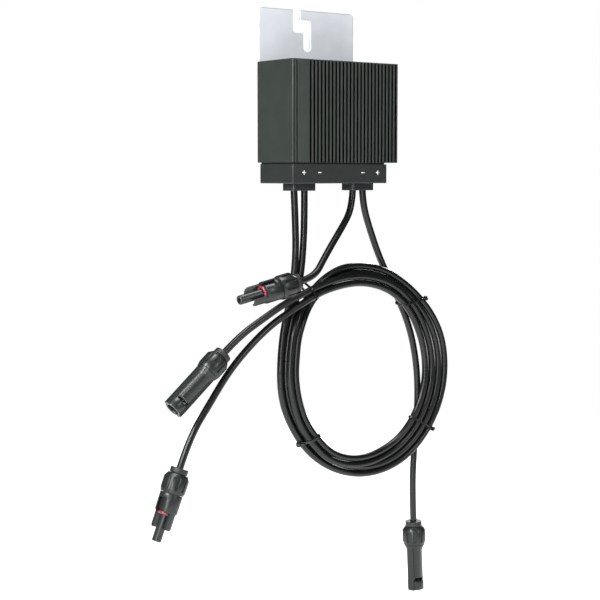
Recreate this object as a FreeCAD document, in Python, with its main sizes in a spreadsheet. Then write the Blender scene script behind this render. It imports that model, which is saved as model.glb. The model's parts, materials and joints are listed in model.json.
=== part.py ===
import FreeCAD, Part
import math
import os
import re

import Sketcher

# Solar power optimizer: finned metal housing on a slotted bracket, a moulded bottom
# cover with two cable entries, four cords and their connectors.
# Millimetres. X runs along the front from left to right, Y to the back, Z up.
# The origin is the centre of the bolt slot's round end, on the bracket's back face.

V = FreeCAD.Vector

doc = FreeCAD.newDocument("power_optimizer")
sizes = doc.addObject("Spreadsheet::Sheet", "Sizes")

DRIVING_SIZES = [
    # Housing
    ("housing_width", 129.0, "finned housing, left to right"),
    ("housing_depth", 61.0, "bracket's back face to the fin tips"),
    ("housing_height", 97.0, "finned housing, top to bottom"),
    ("housing_left", 60.0, "bolt slot's centre to the housing's left face"),
    ("housing_drop", 17.0, "bolt slot's centre down to the housing's top"),
    ("back_relief", 0.5, "housing's back face stands behind the bracket's by this"),
    ("housing_wall", 3.0, "housing's side, top and back walls"),
    ("back_radius", 4.0, "round of the upright edges at the back"),
    ("front_radius", 1.0, "round of the upright edges at the front"),
    ("fin_pitch", 4.37, "fin to fin"),
    ("fin_gap", 2.27, "clear width between two fins"),
    ("fin_gap_count", 25, "number of gaps"),
    ("plain_strip", 20.0, "left face to the first gap"),
    ("sink_wall", 4.0, "wall between the fins' gaps and the electronics chamber"),
    ("groove_width", 1.3, "width of the two grooves by the left edge"),
    ("groove_depth", 2.5, "depth of the two grooves"),
    ("groove_first", 1.0, "left face to the first groove"),
    ("groove_pitch", 3.5, "groove to groove"),
    ("chamber_width", 112.0, "left face to the right side of the electronics chamber"),
    ("chamber_depth", 24.0, "electronics chamber, front to back"),
    ("side_chamber_width", 13.0, "width of the deep part of the chamber, at the left"),
    # Bracket
    ("bracket_width", 116.0, "bracket plate, left to right"),
    ("bracket_plate", 3.0, "thickness of the bracket plate"),
    ("bracket_rise", 35.5, "bolt slot's centre up to the bracket's top edge"),
    ("bracket_foot", 14.0, "housing's bottom up to the bracket's bottom edge"),
    ("bracket_corner", 4.0, "round of the bracket's corners"),
    ("bracket_clearance", 0.2, "gap round the bracket in the housing's recess"),
    ("slot_width", 9.2, "width of the bolt slot, for an M8 bolt"),
    ("entry_shift", 12.65, "centre of the slot's entry to the centre of its seat"),
    ("shelf_height", 13.6, "seat's centre up to the floor of the slot's cross run"),
    ("cross_height", 12.6, "height of the slot's cross run"),
    ("slot_corner", 3.5, "round of the slot's outer corners"),
    ("plate_screw_spread", 72.0, "bracket screws, left to right"),
    ("plate_screw_foot", 12.0, "bracket's bottom edge up to the low row of bracket screws"),
    ("plate_screw_drop", 32.0, "bolt slot's centre down to the top row of bracket screws"),
    ("plate_screw_thread", 4.0, "bracket screw, thread diameter"),
    ("plate_screw_head", 8.0, "bracket screw, head diameter"),
    ("plate_screw_length", 9.5, "bracket screw, overall length"),
    ("boss_wall", 2.0, "metal or plastic round a screw hole"),
    ("plate_boss_height", 4.5, "bracket screw bosses inside the chamber"),
    # Bottom cover
    ("seam", 1.5, "thickness of the gasket between housing and cover"),
    ("gasket_inset", 1.8, "gasket's edge behind the cover's face"),
    ("cover_back_gap", 5.0, "bracket's back face to the bottom cover's back"),
    ("cover_height", 18.5, "bottom cover, top to bottom"),
    ("cover_wall", 2.5, "bottom cover's side walls"),
    ("cover_floor", 3.0, "bottom cover's floor"),
    ("cover_edge", 0.8, "round of the cover's bottom edges"),
    ("cover_screw_thread", 3.0, "cover screw, thread diameter"),
    ("cover_screw_head", 5.6, "cover screw, head diameter"),
    ("cover_screw_sink", 2.4, "depth of the pocket for a cover screw's head"),
    ("cover_screw_reach", 7.0, "cover screw's thread inside the housing"),
    ("cover_boss_inset", 4.0, "cover screws, from the chamber's side walls"),
    ("cover_boss_height", 8.5, "cover screw bosses inside the chamber"),
    # Cable entries
    ("entry_spacing", 71.8, "centre of the left cable entry to the centre of the right one"),
    ("entry_width", 27.6, "cable entry block, left to right"),
    ("entry_depth", 18.3, "cable entry block, front to back"),
    ("entry_setback", 10.0, "housing's front to the blocks' front"),
    ("entry_fall", 7.0, "cable entry block below the cover"),
    ("entry_step", 2.0, "block's side to the side of its neck"),
    ("entry_lip", 2.4, "thickness of the block's lip inside the cover"),
    ("entry_lip_reach", 1.0, "block's lip beyond its neck"),
    ("entry_edge", 2.4, "round of the block's upright edges"),
    ("cord_pitch", 12.4, "cord to cord in one cable entry"),
    ("cord_diameter", 6.7, "outer diameter of every cord"),
    # Circuit board
    ("board_thickness", 1.6, "circuit board"),
    ("board_margin", 2.0, "board's edge to the chamber's wall"),
    ("board_footroom", 12.0, "housing's bottom up to the board's bottom edge"),
    ("board_headroom", 4.0, "chamber's top to the board's top edge"),
    ("board_standoff", 6.5, "chamber's back wall to the board"),
    ("board_screw_inset", 4.0, "board screws, from the board's edges"),
    ("board_screw_thread", 2.5, "board screw, thread diameter"),
    ("board_screw_head", 5.0, "board screw, head diameter"),
    ("board_screw_cap", 1.9, "board screw, height of its head"),
    ("board_screw_reach", 5.0, "board screw's thread in its boss"),
    ("pad_thickness", 1.0, "heat pad under the transistors"),
    ("transistor_width", 15.6, "one transistor's case, left to right"),
    ("transistor_height", 20.0, "one transistor's case, top to bottom"),
    ("transistor_thickness", 4.8, "one transistor's case"),
    ("transistor_pitch", 21.0, "transistor to transistor"),
    ("transistor_across", 8.0, "board's left edge to the first transistor"),
    ("transistor_rise", 14.0, "transistors' bottom edge above the board's bottom"),
    ("lead_width", 1.0, "a transistor's leads"),
    ("lead_pitch", 5.4, "a transistor's leads, one to the next"),
    ("part_clearance", 1.9, "tallest parts on the board to the chamber's front wall"),
    ("inductor_diameter", 30.0, "power inductor's flanges"),
    ("inductor_across", 68.0, "board's left edge to the power inductor's centre"),
    ("inductor_down", 23.0, "board's top edge to the power inductor's centre"),
    ("choke_diameter", 20.0, "filter choke's flanges"),
    ("choke_gap", 1.5, "power inductor to filter choke"),
    ("choke_down", 26.0, "board's top edge to the filter choke's centre"),
    ("flange_thickness", 2.2, "flanges of both coil cores"),
    ("capacitor_diameter", 10.0, "storage capacitors"),
    ("capacitor_across", 11.5, "board's left edge to the first capacitor's centre"),
    ("capacitor_down", 11.0, "board's top edge to the capacitors' centres"),
    ("capacitor_pitch", 12.0, "capacitor to capacitor"),
    ("capacitor_count", 4, "number of storage capacitors"),
    ("chip_side", 10.0, "controller chip"),
    ("chip_across", 9.0, "board's left edge to the controller chip"),
    ("chip_down", 34.0, "board's top edge to the controller chip's low edge"),
    ("chip_thickness", 1.4, "controller chip"),
    ("transformer_width", 13.0, "signal transformer"),
    ("transformer_across", 31.0, "board's left edge to the signal transformer"),
    ("transformer_down", 36.0, "board's top edge to the signal transformer's low edge"),
    ("transformer_depth", 11.0, "signal transformer's height from the board"),
    ("terminal_width", 6.0, "a terminal post"),
    ("terminal_depth", 8.0, "a terminal post's height from the board"),
    ("terminal_height", 8.0, "a terminal post, top to bottom"),
    ("wire_diameter", 2.4, "wires between the cable entries and the terminal posts"),
    # Coil of the output cords
    ("coil_depth", 14.0, "thickness of the coil, front to back"),
    ("coil_round", 3.5, "round of the coil's edges"),
    ("tie_width", 2.6, "cable tie's band"),
    ("tie_thickness", 1.0, "cable tie's band"),
    ("tie_clearance", 0.3, "band's inside to the cords"),
    # Connectors
    ("collar_radius", 8.4, "rubber collar at a connector's rear"),
    ("collar_length", 5.2, "rubber collar at a connector's rear"),
    ("collar_neck", 6.8, "rubber collar's neck inside the cap nut"),
    ("nut_radius", 11.8, "cap nut"),
    ("nut_start", 5.4, "connector's rear to the cap nut"),
    ("nut_end", 24.0, "connector's rear to the cap nut's front"),
    ("nut_mouth", 9.2, "cap nut's radius at its rear"),
    ("thread_radius", 8.0, "threaded stub of a connector's housing"),
    ("thread_start", 12.2, "connector's rear to the threaded stub"),
    ("grip_count", 10, "grip grooves round a cap nut"),
    ("grip_width", 2.4, "a grip groove"),
    ("grip_depth", 0.9, "a grip groove"),
    ("shell_radius", 10.6, "plug connector's shell"),
    ("shell_end", 42.0, "connector's rear to the end of the plug's shell"),
    ("prong_end", 57.0, "connector's rear to the ends of the plug's latch prongs"),
    ("prong_radius", 9.8, "outer radius of the latch prongs"),
    ("prong_thickness", 2.2, "a latch prong"),
    ("prong_width", 7.4, "a latch prong"),
    ("notch_width", 9.0, "notches in the plug's shell"),
    ("notch_start", 29.0, "connector's rear to the notches"),
    ("core_radius", 7.6, "plug's inner body"),
    ("core_end", 41.0, "connector's rear to the end of the plug's inner body"),
    ("nose_radius", 4.4, "plug's front tube"),
    ("nose_bore", 2.3, "bore of the plug's front tube"),
    ("plug_length", 69.0, "plug connector's overall length"),
    ("ring_radius", 1.5, "sealing ring's own thickness, as a radius"),
    ("taper_end", 30.5, "connector's rear to the end of the socket's taper"),
    ("barrel_radius", 7.7, "socket connector's barrel"),
    ("barrel_end", 59.5, "connector's rear to the end of the socket's barrel"),
    ("mouth_start", 63.5, "connector's rear to the socket's mouth ring"),
    ("mouth_radius", 8.3, "socket's mouth ring"),
    ("socket_length", 72.5, "socket connector's overall length"),
    ("socket_bore", 4.8, "bore of the socket's barrel"),
    ("socket_bore_start", 36.0, "connector's rear to the bottom of the socket's bore"),
    ("rail_reach", 9.6, "socket's side rails, from its axis"),
    ("rail_width", 6.8, "socket's side rails"),
    ("pin_radius", 1.6, "contact pin"),
    ("pin_end", 65.0, "connector's rear to the tip of the contact pin"),
    ("sleeve_end", 54.0, "connector's rear to the end of the contact sleeve"),
    ("contact_seat", 30.0, "connector's rear to the front of the contact's thick part"),
]

for row, (alias, number, note) in enumerate(DRIVING_SIZES, 1):
    sizes.set("A%d" % row, note)
    sizes.set("B%d" % row, str(number))
    sizes.setAlias("B%d" % row, alias)
doc.recompute()

ALIASES = {alias for alias, number, note in DRIVING_SIZES}
SUB_PARTS = []


def bound(text):
    """Text of an expression, with each alias pointed at the sheet."""
    def with_sheet(match):
        word = match.group(0)
        return "Sizes." + word if word in ALIASES else word
    return re.sub(r"[a-z_]+", with_sheet, str(text))


def size(text):
    """Number that an expression of aliases gives now."""
    return float(sizes.evalExpression(bound(text)))


def keep(item, label, place=None):
    """Name a finished sub-part, put it in its place and list it for its file."""
    item.Label = label
    if place is not None:
        item.Placement = place
    SUB_PARTS.append(item)
    return item


# Places that several sub-parts share
LEFT = "(-housing_left)"
FRONT = "(-housing_depth)"
BACK = "(-back_relief)"
TOP = "(-housing_drop)"
BOTTOM = "(%s - housing_height)" % TOP
RECESS = "(-bracket_plate)"
CHAMBER_BACK = "(%s - housing_wall)" % RECESS
CHAMBER_FRONT = "(%s - chamber_depth)" % CHAMBER_BACK
FIN_FLOOR = "(%s - sink_wall)" % CHAMBER_FRONT
CHAMBER_LEFT = "(%s + housing_wall)" % LEFT
CHAMBER_RIGHT = "(%s + chamber_width)" % LEFT
CHAMBER_TOP = "(%s - housing_wall)" % TOP
COVER_TOP = "(%s - seam)" % BOTTOM
COVER_BOTTOM = "(%s - cover_height)" % COVER_TOP
COVER_BACK = "(-cover_back_gap)"
COVER_RIGHT = "(%s + housing_wall)" % CHAMBER_RIGHT
COVER_MIDDLE = "((%s + %s) / 2)" % (LEFT, COVER_RIGHT)
FLOOR_TOP = "(%s + cover_floor)" % COVER_BOTTOM
ENTRY_BOTTOM = "(%s - entry_fall)" % COVER_BOTTOM
ENTRY_Y = "(%s + entry_setback + entry_depth / 2)" % FRONT
OUTPUT_X = "(%s - entry_spacing / 2)" % COVER_MIDDLE
INPUT_X = "(%s + entry_spacing / 2)" % COVER_MIDDLE
BOARD_BACK = "(%s - board_standoff)" % CHAMBER_BACK
BOARD_FRONT = "(%s - board_thickness)" % BOARD_BACK
BOARD_LEFT = "(%s + board_margin)" % CHAMBER_LEFT
BOARD_RIGHT = "(%s - board_margin)" % CHAMBER_RIGHT
BOARD_TOP = "(%s - board_headroom)" % CHAMBER_TOP
BOARD_BOTTOM = "(%s + board_footroom)" % BOTTOM
TALLEST_PART = "(%s - %s - part_clearance)" % (BOARD_FRONT, CHAMBER_FRONT)
BRACKET_BOTTOM = "(%s + bracket_foot)" % BOTTOM

PLATE_SCREWS = [
    ("(%s plate_screw_spread / 2)" % side, row)
    for side in ("-", "")
    for row in ("(-plate_screw_drop)", "(%s + plate_screw_foot)" % BRACKET_BOTTOM)
]
BOARD_SCREWS = [
    (x, z)
    for x in ("(%s + board_screw_inset)" % BOARD_LEFT, "(%s - board_screw_inset)" % BOARD_RIGHT)
    for z in ("(%s - board_screw_inset)" % BOARD_TOP, "(%s + board_screw_inset)" % BOARD_BOTTOM)
]
COVER_CORNERS = [
    (CHAMBER_LEFT, "+", CHAMBER_BACK, "-"),
    (CHAMBER_LEFT, "+", "(%s + housing_wall)" % FRONT, "+"),
    (CHAMBER_RIGHT, "-", CHAMBER_BACK, "-"),
    (CHAMBER_RIGHT, "-", CHAMBER_FRONT, "+"),
]
COVER_SCREWS = [
    ("(%s %s cover_boss_inset)" % (wall_x, sign_x), "(%s %s cover_boss_inset)" % (wall_y, sign_y))
    for wall_x, sign_x, wall_y, sign_y in COVER_CORNERS
]


# Helpers for bodies with sketches

def new_body(name):
    return doc.addObject("PartDesign::Body", name)


def sketch_on(body, plane, height="0"):
    """Sketch on one of the body's origin planes, lifted along that plane's normal."""
    flat = [item for item in body.Origin.OriginFeatures if item.Role == plane][0]
    sketch = body.newObject("Sketcher::SketchObject", body.Name + "_sketch")
    sketch.AttachmentSupport = [(flat, "")]
    sketch.MapMode = "FlatFace"
    sketch.setExpression("AttachmentOffset.Base.z", bound(height))
    return sketch


def add_outline(sketch, corners):
    """Closed outline whose corners are bound to the sheet."""
    first = sketch.GeometryCount
    count = len(corners)
    points = [V(size(x), size(y), 0) for x, y in corners]
    for index in range(count):
        sketch.addGeometry(Part.LineSegment(points[index], points[(index + 1) % count]), False)
    for index in range(count):
        after = first + (index + 1) % count
        sketch.addConstraint(Sketcher.Constraint("Coincident", first + index, 2, after, 1))
    for index, (x, y) in enumerate(corners):
        for kind, text, number in (("DistanceX", x, points[index].x), ("DistanceY", y, points[index].y)):
            rule = sketch.addConstraint(Sketcher.Constraint(kind, -1, 1, first + index, 1, number))
            sketch.setExpression("Constraints[%d]" % rule, bound(text))


def add_rectangle(sketch, left, low, right, high):
    add_outline(sketch, [(left, low), (right, low), (right, high), (left, high)])


def add_circle(sketch, x, y, radius):
    """Circle whose centre and radius are bound to the sheet."""
    index = sketch.GeometryCount
    sketch.addGeometry(Part.Circle(V(size(x), size(y), 0), V(0, 0, 1), size(radius)), False)
    rules = (
        (Sketcher.Constraint("DistanceX", -1, 1, index, 3, size(x)), x),
        (Sketcher.Constraint("DistanceY", -1, 1, index, 3, size(y)), y),
        (Sketcher.Constraint("Radius", index, size(radius)), radius),
    )
    for constraint, text in rules:
        rule = sketch.addConstraint(constraint)
        sketch.setExpression("Constraints[%d]" % rule, bound(text))


def pad(body, sketch, length, reverse=False):
    feature = body.newObject("PartDesign::Pad", body.Name + "_pad")
    feature.Profile = sketch
    feature.Reversed = reverse
    feature.setExpression("Length", bound(length))
    return feature


def pocket(body, sketch, length=None, reverse=False, both=False):
    """Pocket of a length, or through all where no length is given."""
    feature = body.newObject("PartDesign::Pocket", body.Name + "_pocket")
    feature.Profile = sketch
    feature.Reversed = reverse
    if both:
        feature.SideType = "Symmetric"
    if length is None:
        feature.Type = "ThroughAll"
    else:
        feature.setExpression("Length", bound(length))
    return feature


def revolution(body, corners):
    """Outline of radius and height turned round the Z axis."""
    sketch = sketch_on(body, "XZ_Plane")
    add_outline(sketch, corners)
    feature = body.newObject("PartDesign::Revolution", body.Name + "_turn")
    feature.Profile = sketch
    feature.ReferenceAxis = (sketch, ["V_Axis"])
    feature.Angle = 360
    return feature


def edges_where(shape, test):
    return ["Edge%d" % number for number, edge in enumerate(shape.Edges, 1) if test(edge)]


def is_upright(edge):
    box = edge.BoundBox
    return box.XLength < 1e-6 and box.YLength < 1e-6


def round_edges(body, base, test, radius):
    """Fillet on the edges of a feature that the test picks."""
    doc.recompute()
    feature = body.newObject("PartDesign::Fillet", body.Name + "_round")
    feature.Base = (base, edges_where(base.Shape, test))
    feature.setExpression("Radius", bound(radius))
    return feature


# Helpers for primitives and booleans

def box(low, high):
    """Part::Box between two corners that are given as expressions."""
    item = doc.addObject("Part::Box", "Block")
    for side, axis, start, end in zip(("Length", "Width", "Height"), "xyz", low, high):
        item.setExpression(side, bound("(%s) - (%s)" % (end, start)))
        item.setExpression("Placement.Base." + axis, bound(start))
    return item


def cylinder(base, radius, length, along="z"):
    """Part::Cylinder from a base point, along +Z, +Y or -Y."""
    item = doc.addObject("Part::Cylinder", "Round")
    item.setExpression("Radius", bound(radius))
    item.setExpression("Height", bound(length))
    turns = {"z": 0, "+y": -90, "-y": 90}
    item.Placement = FreeCAD.Placement(V(), FreeCAD.Rotation(V(1, 0, 0), turns[along]))
    for axis, text in zip("xyz", base):
        item.setExpression("Placement.Base." + axis, bound(text))
    return item


def cone(base, radius, end_radius, length, along="z"):
    item = doc.addObject("Part::Cone", "Taper")
    item.setExpression("Radius1", bound(radius))
    item.setExpression("Radius2", bound(end_radius))
    item.setExpression("Height", bound(length))
    turns = {"z": 0, "+y": -90, "-y": 90}
    item.Placement = FreeCAD.Placement(V(), FreeCAD.Rotation(V(1, 0, 0), turns[along]))
    for axis, text in zip("xyz", base):
        item.setExpression("Placement.Base." + axis, bound(text))
    return item


def joined(items):
    item = doc.addObject("Part::MultiFuse", "Joined")
    item.Shapes = items
    return item


def cut(base, tools):
    item = doc.addObject("Part::Cut", "Cut")
    item.Base = base
    item.Tool = tools[0] if len(tools) == 1 else joined(tools)
    return item


def group(items):
    item = doc.addObject("Part::Compound", "Group")
    item.Links = items
    return item


# Housing: one casting with its fins, grooves, chamber and screw bosses

def heat_sink_housing():
    body = new_body("housing")
    outline = sketch_on(body, "XY_Plane", TOP)
    right = "(%s + housing_width)" % LEFT
    add_rectangle(outline, LEFT, FRONT, right, BACK)
    block = pad(body, outline, "housing_height", reverse=True)
    middle = size("%s / 2" % FRONT)
    rounded = round_edges(body, block, lambda e: is_upright(e) and e.CenterOfMass.y > middle, "back_radius")
    rounded = round_edges(body, rounded, lambda e: is_upright(e) and e.CenterOfMass.y < size(FRONT) + 0.1,
                          "front_radius")

    gap = sketch_on(body, "XY_Plane", TOP)
    gap_left = "(%s + plain_strip)" % LEFT
    add_rectangle(gap, gap_left, "%s - 1" % FRONT, "%s + fin_gap" % gap_left, FIN_FLOOR)
    first_gap = pocket(body, gap)
    fins = body.newObject("PartDesign::LinearPattern", "fins")
    fins.Originals = [first_gap]
    fins.Direction = (gap, ["H_Axis"])
    fins.Mode = "Spacing"
    fins.setExpression("Offset", bound("fin_pitch"))
    fins.setExpression("Occurrences", bound("fin_gap_count"))
    body.Tip = fins

    grooves = sketch_on(body, "XY_Plane", TOP)
    for number in (0, 1):
        near = "(%s + groove_first + %d * groove_pitch)" % (LEFT, number)
        add_rectangle(grooves, near, "%s - 1" % FRONT, near + " + groove_width", "%s + groove_depth" % FRONT)
    pocket(body, grooves)

    chamber = sketch_on(body, "XY_Plane", BOTTOM)
    step = "(%s + side_chamber_width)" % CHAMBER_LEFT
    deep = "(%s + housing_wall)" % FRONT
    add_outline(chamber, [
        (CHAMBER_LEFT, deep), (step, deep), (step, CHAMBER_FRONT),
        (CHAMBER_RIGHT, CHAMBER_FRONT), (CHAMBER_RIGHT, CHAMBER_BACK), (CHAMBER_LEFT, CHAMBER_BACK),
    ])
    pocket(body, chamber, "housing_height - housing_wall", reverse=True)

    recess = sketch_on(body, "XZ_Plane", "bracket_plate")
    half = "(bracket_width / 2 + bracket_clearance)"
    add_rectangle(recess, "-%s" % half, "%s - bracket_clearance" % BRACKET_BOTTOM, half, "%s + 1" % TOP)
    pocket(body, recess, "bracket_plate")

    plate_bosses = sketch_on(body, "XZ_Plane", "bracket_plate + housing_wall")
    for x, z in PLATE_SCREWS:
        add_circle(plate_bosses, x, z, "plate_screw_thread / 2 + boss_wall")
    pad(body, plate_bosses, "plate_boss_height")
    plate_holes = sketch_on(body, "XZ_Plane", "bracket_plate + housing_wall + plate_boss_height")
    for x, z in PLATE_SCREWS:
        add_circle(plate_holes, x, z, "plate_screw_thread / 2")
    pocket(body, plate_holes, "housing_wall + plate_boss_height")

    board_bosses = sketch_on(body, "XZ_Plane", "bracket_plate + housing_wall")
    for x, z in BOARD_SCREWS:
        add_circle(board_bosses, x, z, "board_screw_thread / 2 + boss_wall")
    pad(body, board_bosses, "board_standoff")
    board_holes = sketch_on(body, "XZ_Plane", "bracket_plate + housing_wall + board_standoff")
    for x, z in BOARD_SCREWS:
        add_circle(board_holes, x, z, "board_screw_thread / 2")
    pocket(body, board_holes, "board_screw_reach")

    cover_bosses = sketch_on(body, "XY_Plane", BOTTOM)
    reach = "(cover_boss_inset + cover_screw_thread / 2 + boss_wall)"
    for wall_x, sign_x, wall_y, sign_y in COVER_CORNERS:
        spans = []
        for wall, sign in ((wall_x, sign_x), (wall_y, sign_y)):
            in_wall = "%s %s -(housing_wall / 2)" % (wall, sign)
            far = "%s %s %s" % (wall, sign, reach)
            spans.append((in_wall, far) if sign == "+" else (far, in_wall))
        (low_x, high_x), (low_y, high_y) = spans
        add_rectangle(cover_bosses, low_x, low_y, high_x, high_y)
    pad(body, cover_bosses, "cover_boss_height")
    cover_holes = sketch_on(body, "XY_Plane", BOTTOM)
    for x, y in COVER_SCREWS:
        add_circle(cover_holes, x, y, "cover_screw_thread / 2")
    pocket(body, cover_holes, "cover_screw_reach", reverse=True)
    keep(body, "heat_sink_housing")


# Bracket: a flat plate with a Z-shaped slot, open at the top, and four countersunk holes

def mounting_bracket():
    body = new_body("bracket")
    outline = sketch_on(body, "XZ_Plane")
    add_rectangle(outline, "-bracket_width / 2", BRACKET_BOTTOM, "bracket_width / 2", "bracket_rise")
    plate = pad(body, outline, "bracket_plate")
    rounded = round_edges(body, plate, lambda e: e.BoundBox.YLength > 1 and e.BoundBox.DiagonalLength < 5,
                          "bracket_corner")
    slot = sketch_on(body, "XZ_Plane")
    half = "(slot_width / 2)"
    entry = "(-entry_shift)"
    ceiling = "(shelf_height + cross_height)"
    add_outline(slot, [
        ("%s - %s" % (entry, half), "bracket_rise + 1"), ("%s - %s" % (entry, half), "shelf_height"),
        ("-%s" % half, "shelf_height"), ("-%s" % half, "0"), (half, "0"), (half, ceiling),
        ("%s + %s" % (entry, half), ceiling), ("%s + %s" % (entry, half), "bracket_rise + 1"),
    ])
    cut_slot = pocket(body, slot, reverse=True)

    def is_outer_corner(edge):
        middle = edge.CenterOfMass
        low_left = abs(middle.x + size("entry_shift + slot_width / 2")) < 0.1
        high_right = abs(middle.x - size("slot_width / 2")) < 0.1
        at_shelf = abs(middle.z - size("shelf_height")) < 0.1
        at_ceiling = abs(middle.z - size(ceiling)) < 0.1
        across = edge.BoundBox.YLength > 1 and edge.BoundBox.DiagonalLength < 5
        return across and (low_left and at_shelf or high_right and at_ceiling)

    round_edges(body, cut_slot, is_outer_corner, "slot_corner")
    seat = sketch_on(body, "XZ_Plane")
    add_circle(seat, "0", "0", half)
    pocket(body, seat, reverse=True)
    holes = sketch_on(body, "XZ_Plane")
    for x, z in PLATE_SCREWS:
        add_circle(holes, x, z, "plate_screw_thread / 2")
    pocket(body, holes, reverse=True)
    doc.recompute()
    sinks = [
        cone((x, "0", z), "plate_screw_head / 2", "plate_screw_thread / 2",
             "(plate_screw_head - plate_screw_thread) / 2", along="-y")
        for x, z in PLATE_SCREWS
    ]
    keep(cut(body, sinks), "mounting_bracket")


def bracket_screws():
    screws = []
    head = "(plate_screw_head - plate_screw_thread) / 2"
    for x, z in PLATE_SCREWS:
        sunk = cone((x, "0", z), "plate_screw_head / 2", "plate_screw_thread / 2", head, along="-y")
        shank = cylinder((x, "-%s" % head, z), "plate_screw_thread / 2",
                         "plate_screw_length - %s" % head, along="-y")
        recess = cylinder((x, "0", z), "plate_screw_thread / 4", head, along="-y")
        screws.append(cut(joined([sunk, shank]), [recess]))
    keep(group(screws), "bracket_screws")


# Gasket and bottom cover

def cover_gasket():
    body = new_body("gasket")
    sheet = sketch_on(body, "XY_Plane", COVER_TOP)
    add_rectangle(sheet, "%s + gasket_inset" % LEFT, "%s + gasket_inset" % FRONT,
                  "%s - gasket_inset" % COVER_RIGHT, "%s - gasket_inset" % COVER_BACK)
    pad(body, sheet, "seam")
    opening = sketch_on(body, "XY_Plane", COVER_TOP)
    margin = "0.4"
    step = "(%s + side_chamber_width + %s)" % (CHAMBER_LEFT, margin)
    left = "%s - %s" % (CHAMBER_LEFT, margin)
    right = "%s + %s" % (CHAMBER_RIGHT, margin)
    front = "%s - %s" % (CHAMBER_FRONT, margin)
    back = "%s + %s" % (CHAMBER_BACK, margin)
    deep = "(%s + housing_wall - %s)" % (FRONT, margin)
    add_outline(opening, [(left, deep), (step, deep), (step, front), (right, front),
                          (right, back), (left, back)])
    pocket(body, opening, reverse=True)
    keep(body, "cover_gasket")


def bottom_cover():
    body = new_body("cover")
    outline = sketch_on(body, "XY_Plane", COVER_BOTTOM)
    add_rectangle(outline, LEFT, FRONT, COVER_RIGHT, COVER_BACK)
    block = pad(body, outline, "cover_height")
    middle = size("%s / 2" % FRONT)
    rounded = round_edges(body, block, lambda e: is_upright(e) and e.CenterOfMass.y > middle, "back_radius")
    rounded = round_edges(body, rounded, lambda e: is_upright(e) and e.CenterOfMass.y < size(FRONT) + 0.1,
                          "front_radius")
    low = size(COVER_BOTTOM)
    round_edges(body, rounded, lambda e: e.BoundBox.ZMax < low + 0.01, "cover_edge")

    hollow = sketch_on(body, "XY_Plane", COVER_TOP)
    add_rectangle(hollow, "%s + cover_wall" % LEFT, "%s + cover_wall" % FRONT,
                  "%s - cover_wall" % COVER_RIGHT, "%s - cover_wall" % COVER_BACK)
    pocket(body, hollow, "cover_height - cover_floor")

    posts = sketch_on(body, "XY_Plane", COVER_BOTTOM)
    for x, y in COVER_SCREWS:
        add_circle(posts, x, y, "cover_screw_head / 2 + boss_wall / 2")
    pad(body, posts, "cover_height")
    holes = sketch_on(body, "XY_Plane", COVER_TOP)
    for x, y in COVER_SCREWS:
        add_circle(holes, x, y, "cover_screw_thread / 2")
    pocket(body, holes)
    sinks = sketch_on(body, "XY_Plane", COVER_BOTTOM)
    for x, y in COVER_SCREWS:
        add_circle(sinks, x, y, "cover_screw_head / 2")
    pocket(body, sinks, "cover_screw_sink", reverse=True)

    windows = sketch_on(body, "XY_Plane", COVER_BOTTOM)
    for x in (OUTPUT_X, INPUT_X):
        half_width = "(entry_width / 2 - entry_step)"
        half_depth = "(entry_depth / 2 - entry_step)"
        add_rectangle(windows, "%s - %s" % (x, half_width), "%s - %s" % (ENTRY_Y, half_depth),
                      "%s + %s" % (x, half_width), "%s + %s" % (ENTRY_Y, half_depth))
    pocket(body, windows, "cover_floor", reverse=True)
    keep(body, "bottom_cover")


def cover_screws():
    screws = []
    low = "(%s + cover_screw_sink)" % COVER_BOTTOM
    for x, y in COVER_SCREWS:
        head = cylinder((x, y, "%s - cover_screw_sink * 0.8" % low), "cover_screw_head / 2", "cover_screw_sink * 0.8")
        shank = cylinder((x, y, low), "cover_screw_thread / 2",
                         "cover_height - cover_screw_sink + seam + cover_screw_reach - 0.5")
        drive = cylinder((x, y, "%s - cover_screw_sink * 0.8" % low), "cover_screw_thread / 3", "cover_screw_sink / 2")
        screws.append(cut(joined([head, shank]), [drive]))
    keep(group(screws), "cover_screws")


def cable_entry(label, x):
    """Moulded block that closes the cover round two cords: outside block, neck and inside lip."""
    body = new_body(label)
    outside = sketch_on(body, "XY_Plane", ENTRY_BOTTOM)
    half_width, half_depth = "(entry_width / 2)", "(entry_depth / 2)"
    add_rectangle(outside, "%s - %s" % (x, half_width), "%s - %s" % (ENTRY_Y, half_depth),
                  "%s + %s" % (x, half_width), "%s + %s" % (ENTRY_Y, half_depth))
    block = pad(body, outside, "entry_fall")
    round_edges(body, block, is_upright, "entry_edge")
    neck = sketch_on(body, "XY_Plane", COVER_BOTTOM)
    add_rectangle(neck, "%s - %s + entry_step" % (x, half_width), "%s - %s + entry_step" % (ENTRY_Y, half_depth),
                  "%s + %s - entry_step" % (x, half_width), "%s + %s - entry_step" % (ENTRY_Y, half_depth))
    pad(body, neck, "cover_floor")
    lip = sketch_on(body, "XY_Plane", FLOOR_TOP)
    inset = "(entry_step - entry_lip_reach)"
    add_rectangle(lip, "%s - %s + %s" % (x, half_width, inset), "%s - %s + %s" % (ENTRY_Y, half_depth, inset),
                  "%s + %s - %s" % (x, half_width, inset), "%s + %s - %s" % (ENTRY_Y, half_depth, inset))
    pad(body, lip, "entry_lip")
    keep(body, label)


# Electronics in the chamber

def circuit_board():
    board = box((BOARD_LEFT, BOARD_FRONT, BOARD_BOTTOM), (BOARD_RIGHT, BOARD_BACK, BOARD_TOP))
    holes = [
        cylinder((x, BOARD_BACK, z), "board_screw_thread / 2", "board_thickness", along="-y")
        for x, z in BOARD_SCREWS
    ]
    keep(cut(board, holes), "circuit_board")


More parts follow.
